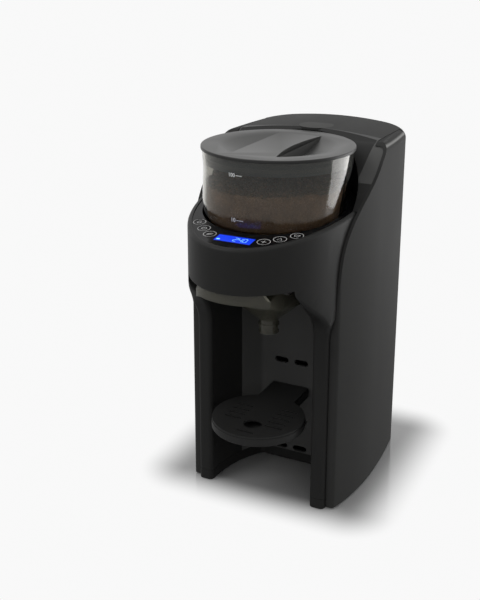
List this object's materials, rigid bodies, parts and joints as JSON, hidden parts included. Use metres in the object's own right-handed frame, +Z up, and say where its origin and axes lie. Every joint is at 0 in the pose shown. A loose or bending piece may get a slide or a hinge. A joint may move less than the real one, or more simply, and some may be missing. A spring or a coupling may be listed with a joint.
{
  "type": "baby formula maker",
  "caption": "Countertop baby formula maker with a clear powder container, tilted touch deck, slide-out funnel, drip tray on hooks and a lift-off rear water tank.",
  "frame": {"origin": "centre of the machine's outline on the surface it stands on", "axes": "+Z up, the front with the tray and display faces -Y, +X to the right seen from the front"},
  "size_m": [0.183, 0.288, 0.371],
  "materials": {
    "housing_black": "fine satin",
    "panel_charcoal": "satin",
    "inner_grey": "plain moulded",
    "deck_gloss": "high gloss",
    "display_blue": "backlit blue",
    "key_print": "light grey print",
    "lid_grey": "satin grey",
    "container_clear": "clear smoked plastic",
    "tank_smoke": "smoked plastic",
    "funnel_smoke": "translucent smoked plastic",
    "wheel_grey": "plain moulded",
    "acetal_white": "plain moulded",
    "rubber_black": "soft",
    "seal_silicone": "soft",
    "hose_silicone": "translucent silicone",
    "screw_steel": "plain",
    "motor_steel": "plated can",
    "board_green": "lacquered board",
    "heater_aluminium": "cast",
    "pump_black": "plain moulded"
  },
  "bodies": {
    "machine": {"base_frame": "housing_black", "base_screws": "screw_steel", "rubber_feet": "rubber_black", "front_housing": "housing_black", "bay_back_panel": "housing_black", "side_panel_left": "panel_charcoal", "side_panel_right": "panel_charcoal", "chassis": "inner_grey", "top_shroud": "housing_black", "control_deck": "deck_gloss", "lcd_display": "display_blue", "key_rings": "key_print", "control_board": "board_green", "drive_deck": "inner_grey", "container_seat": "housing_black", "drive_bush": "acetal_white", "mixer_motor": "motor_steel", "funnel_rails": "inner_grey", "heater": "heater_aluminium", "heater_bracket": "screw_steel", "pump_body": "pump_black", "hose_tank_pump": "hose_silicone", "hose_pump_heater": "hose_silicone", "hose_heater_nozzle": "hose_silicone", "water_nozzle": "acetal_white", "power_board": "board_green", "power_inlet": "pump_black", "tank_seat": "panel_charcoal"},
    "container": {"powder_container": "container_clear", "container_scraper": "acetal_white"},
    "container_cap": {"container_lid": "lid_grey", "lid_seal": "seal_silicone"},
    "wheel": {"mixing_wheel": "wheel_grey"},
    "gear": {"drive_gear": "acetal_white"},
    "idler": {"idler_gear": "acetal_white"},
    "pinion": {"motor_pinion": "acetal_white"},
    "rotor": {"pump_rotor": "acetal_white"},
    "tank": {"water_tank": "tank_smoke", "tank_collar": "panel_charcoal", "tank_hinge_pin": "screw_steel", "tank_valve_cage": "inner_grey", "tank_valve_spring": "screw_steel"},
    "tank_cap": {"tank_lid": "panel_charcoal"},
    "valve": {"tank_valve": "acetal_white"},
    "funnel_unit": {"funnel": "funnel_smoke", "funnel_cover": "funnel_smoke"},
    "tray": {"drip_tray": "housing_black", "tray_cover": "housing_black"}
  },
  "joints": [
    {"name": "container_lift", "type": "slide", "parent": "machine", "child": "container", "axis": [0, 0, 1], "range_m": [0, 0.12]},
    {"name": "container_lid_lift", "type": "slide", "parent": "container", "child": "container_cap", "axis": [0, 0, 1], "range_m": [0, 0.08]},
    {"name": "wheel_spin", "type": "hinge", "parent": "container", "child": "wheel", "pos_m": [0, -0.0335, 0.287], "axis": [0, 0, 1], "continuous": true},
    {"name": "gear_spin", "type": "hinge", "parent": "machine", "child": "gear", "pos_m": [0, -0.0335, 0.267], "axis": [0, 0, 1], "continuous": true},
    {"name": "idler_spin", "type": "hinge", "parent": "machine", "child": "idler", "pos_m": [0, 0.0085, 0.267], "axis": [0, 0, 1], "continuous": true},
    {"name": "pinion_spin", "type": "hinge", "parent": "machine", "child": "pinion", "pos_m": [0, 0.0355, 0.267], "axis": [0, 0, 1], "continuous": true},
    {"name": "pump_spin", "type": "hinge", "parent": "machine", "child": "rotor", "pos_m": [-0.04, 0.0425, 0.075], "axis": [0, 0, 1], "continuous": true},
    {"name": "tank_lift", "type": "slide", "parent": "machine", "child": "tank", "axis": [0, 0, 1], "range_m": [0, 0.32]},
    {"name": "tank_lid_hinge", "type": "hinge", "parent": "tank", "child": "tank_cap", "pos_m": [0, 0.1408, 0.3455], "axis": [-1, 0, 0], "range_deg": [0, 95]},
    {"name": "tank_valve_lift", "type": "slide", "parent": "tank", "child": "valve", "axis": [0, 0, 1], "range_m": [0, 0.003], "stiffness_N_per_m": 150, "springref_m": -0.002, "deforming": ["tank_valve_spring"]},
    {"name": "funnel_slide", "type": "slide", "parent": "machine", "child": "funnel_unit", "axis": [0, -1, 0], "range_m": [0, 0.15]},
    {"name": "tray_slide", "type": "slide", "parent": "machine", "child": "tray", "axis": [0, -1, 0], "range_m": [0, 0.1]}
  ],
  "couplings": [
    {"joint": "wheel_spin", "follows": "gear_spin", "ratio": 1},
    {"joint": "idler_spin", "follows": "gear_spin", "ratio": -1.8},
    {"joint": "pinion_spin", "follows": "gear_spin", "ratio": 2.25}
  ]
}
